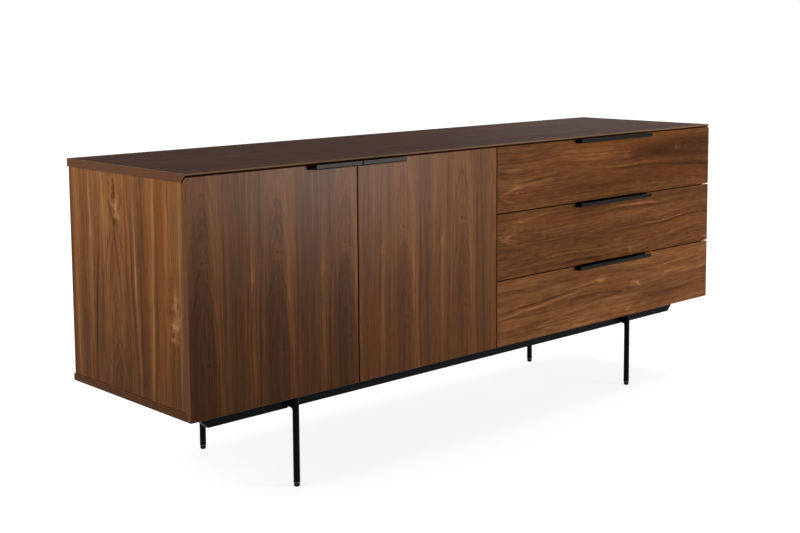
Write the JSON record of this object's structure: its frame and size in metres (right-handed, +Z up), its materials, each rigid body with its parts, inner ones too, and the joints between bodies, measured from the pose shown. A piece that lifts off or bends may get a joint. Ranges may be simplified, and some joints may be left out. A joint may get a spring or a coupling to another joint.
{
  "type": "sideboard",
  "caption": "Long low walnut-veneered sideboard with hinged doors, a stack of drawers, folded edge pulls, an undercut top and a black bent-rod steel base.",
  "frame": {"origin": "on the floor, under the middle of the outer box, pulls included", "axes": "+X along the length, from the doors towards the drawers; the fronts face -Y; +Z up"},
  "size_m": [1.8, 0.487, 0.722],
  "materials": {
    "walnut_veneer": "satin lacquered walnut veneer",
    "walnut_inside": "matt walnut veneer of the inside",
    "black_powder_coat": "fine-textured black powder coat",
    "zinc_plated_steel": "zinc-plated sheet steel",
    "black_plastic": "moulded glides"
  },
  "bodies": {
    "cabinet": {"top_panel": "walnut_veneer", "bottom_panel": "walnut_veneer", "left_side_panel": "walnut_veneer", "right_side_panel": "walnut_veneer", "centre_divider": "walnut_inside", "back_panel": "walnut_inside", "shelf": "walnut_inside", "shelf_pin_left_front": "zinc_plated_steel", "shelf_pin_left_rear": "zinc_plated_steel", "shelf_pin_right_front": "zinc_plated_steel", "shelf_pin_right_rear": "zinc_plated_steel", "front_rail": "black_powder_coat", "rear_rail": "black_powder_coat", "left_leg_loop": "black_powder_coat", "right_leg_loop": "black_powder_coat", "left_front_glide": "black_plastic", "left_rear_glide": "black_plastic", "right_front_glide": "black_plastic", "right_rear_glide": "black_plastic", "left_door_upper_hinge_arm": "zinc_plated_steel", "left_door_lower_hinge_arm": "zinc_plated_steel", "right_door_upper_hinge_arm": "zinc_plated_steel", "right_door_lower_hinge_arm": "zinc_plated_steel", "upper_left_cabinet_runner": "zinc_plated_steel", "upper_right_cabinet_runner": "zinc_plated_steel", "middle_left_cabinet_runner": "zinc_plated_steel", "middle_right_cabinet_runner": "zinc_plated_steel", "lower_left_cabinet_runner": "zinc_plated_steel", "lower_right_cabinet_runner": "zinc_plated_steel"},
    "left_door": {"left_door_panel": "walnut_veneer", "left_door_pull": "black_powder_coat", "left_door_upper_hinge_cup": "zinc_plated_steel", "left_door_lower_hinge_cup": "zinc_plated_steel"},
    "right_door": {"right_door_panel": "walnut_veneer", "right_door_pull": "black_powder_coat", "right_door_upper_hinge_cup": "zinc_plated_steel", "right_door_lower_hinge_cup": "zinc_plated_steel"},
    "upper_drawer": {"upper_drawer_front": "walnut_veneer", "upper_drawer_pull": "black_powder_coat", "upper_drawer_box": "walnut_inside", "upper_drawer_bottom": "walnut_inside", "upper_left_drawer_runner": "zinc_plated_steel", "upper_right_drawer_runner": "zinc_plated_steel"},
    "middle_drawer": {"middle_drawer_front": "walnut_veneer", "middle_drawer_pull": "black_powder_coat", "middle_drawer_box": "walnut_inside", "middle_drawer_bottom": "walnut_inside", "middle_left_drawer_runner": "zinc_plated_steel", "middle_right_drawer_runner": "zinc_plated_steel"},
    "lower_drawer": {"lower_drawer_front": "walnut_veneer", "lower_drawer_pull": "black_powder_coat", "lower_drawer_box": "walnut_inside", "lower_drawer_bottom": "walnut_inside", "lower_left_drawer_runner": "zinc_plated_steel", "lower_right_drawer_runner": "zinc_plated_steel"}
  },
  "joints": [
    {"name": "left_door_hinge", "type": "hinge", "parent": "cabinet", "child": "left_door", "pos_m": [-0.8984, -0.2219, 0.466], "axis": [0, 0, -1], "range_deg": [0, 100]},
    {"name": "right_door_hinge", "type": "hinge", "parent": "cabinet", "child": "right_door", "pos_m": [-0.0041, -0.2219, 0.466], "axis": [0, 0, 1], "range_deg": [0, 90]},
    {"name": "upper_drawer_slide", "type": "slide", "parent": "cabinet", "child": "upper_drawer", "axis": [0, -1, 0], "range_m": [0, 0.3]},
    {"name": "middle_drawer_slide", "type": "slide", "parent": "cabinet", "child": "middle_drawer", "axis": [0, -1, 0], "range_m": [0, 0.3]},
    {"name": "lower_drawer_slide", "type": "slide", "parent": "cabinet", "child": "lower_drawer", "axis": [0, -1, 0], "range_m": [0, 0.3]}
  ]
}
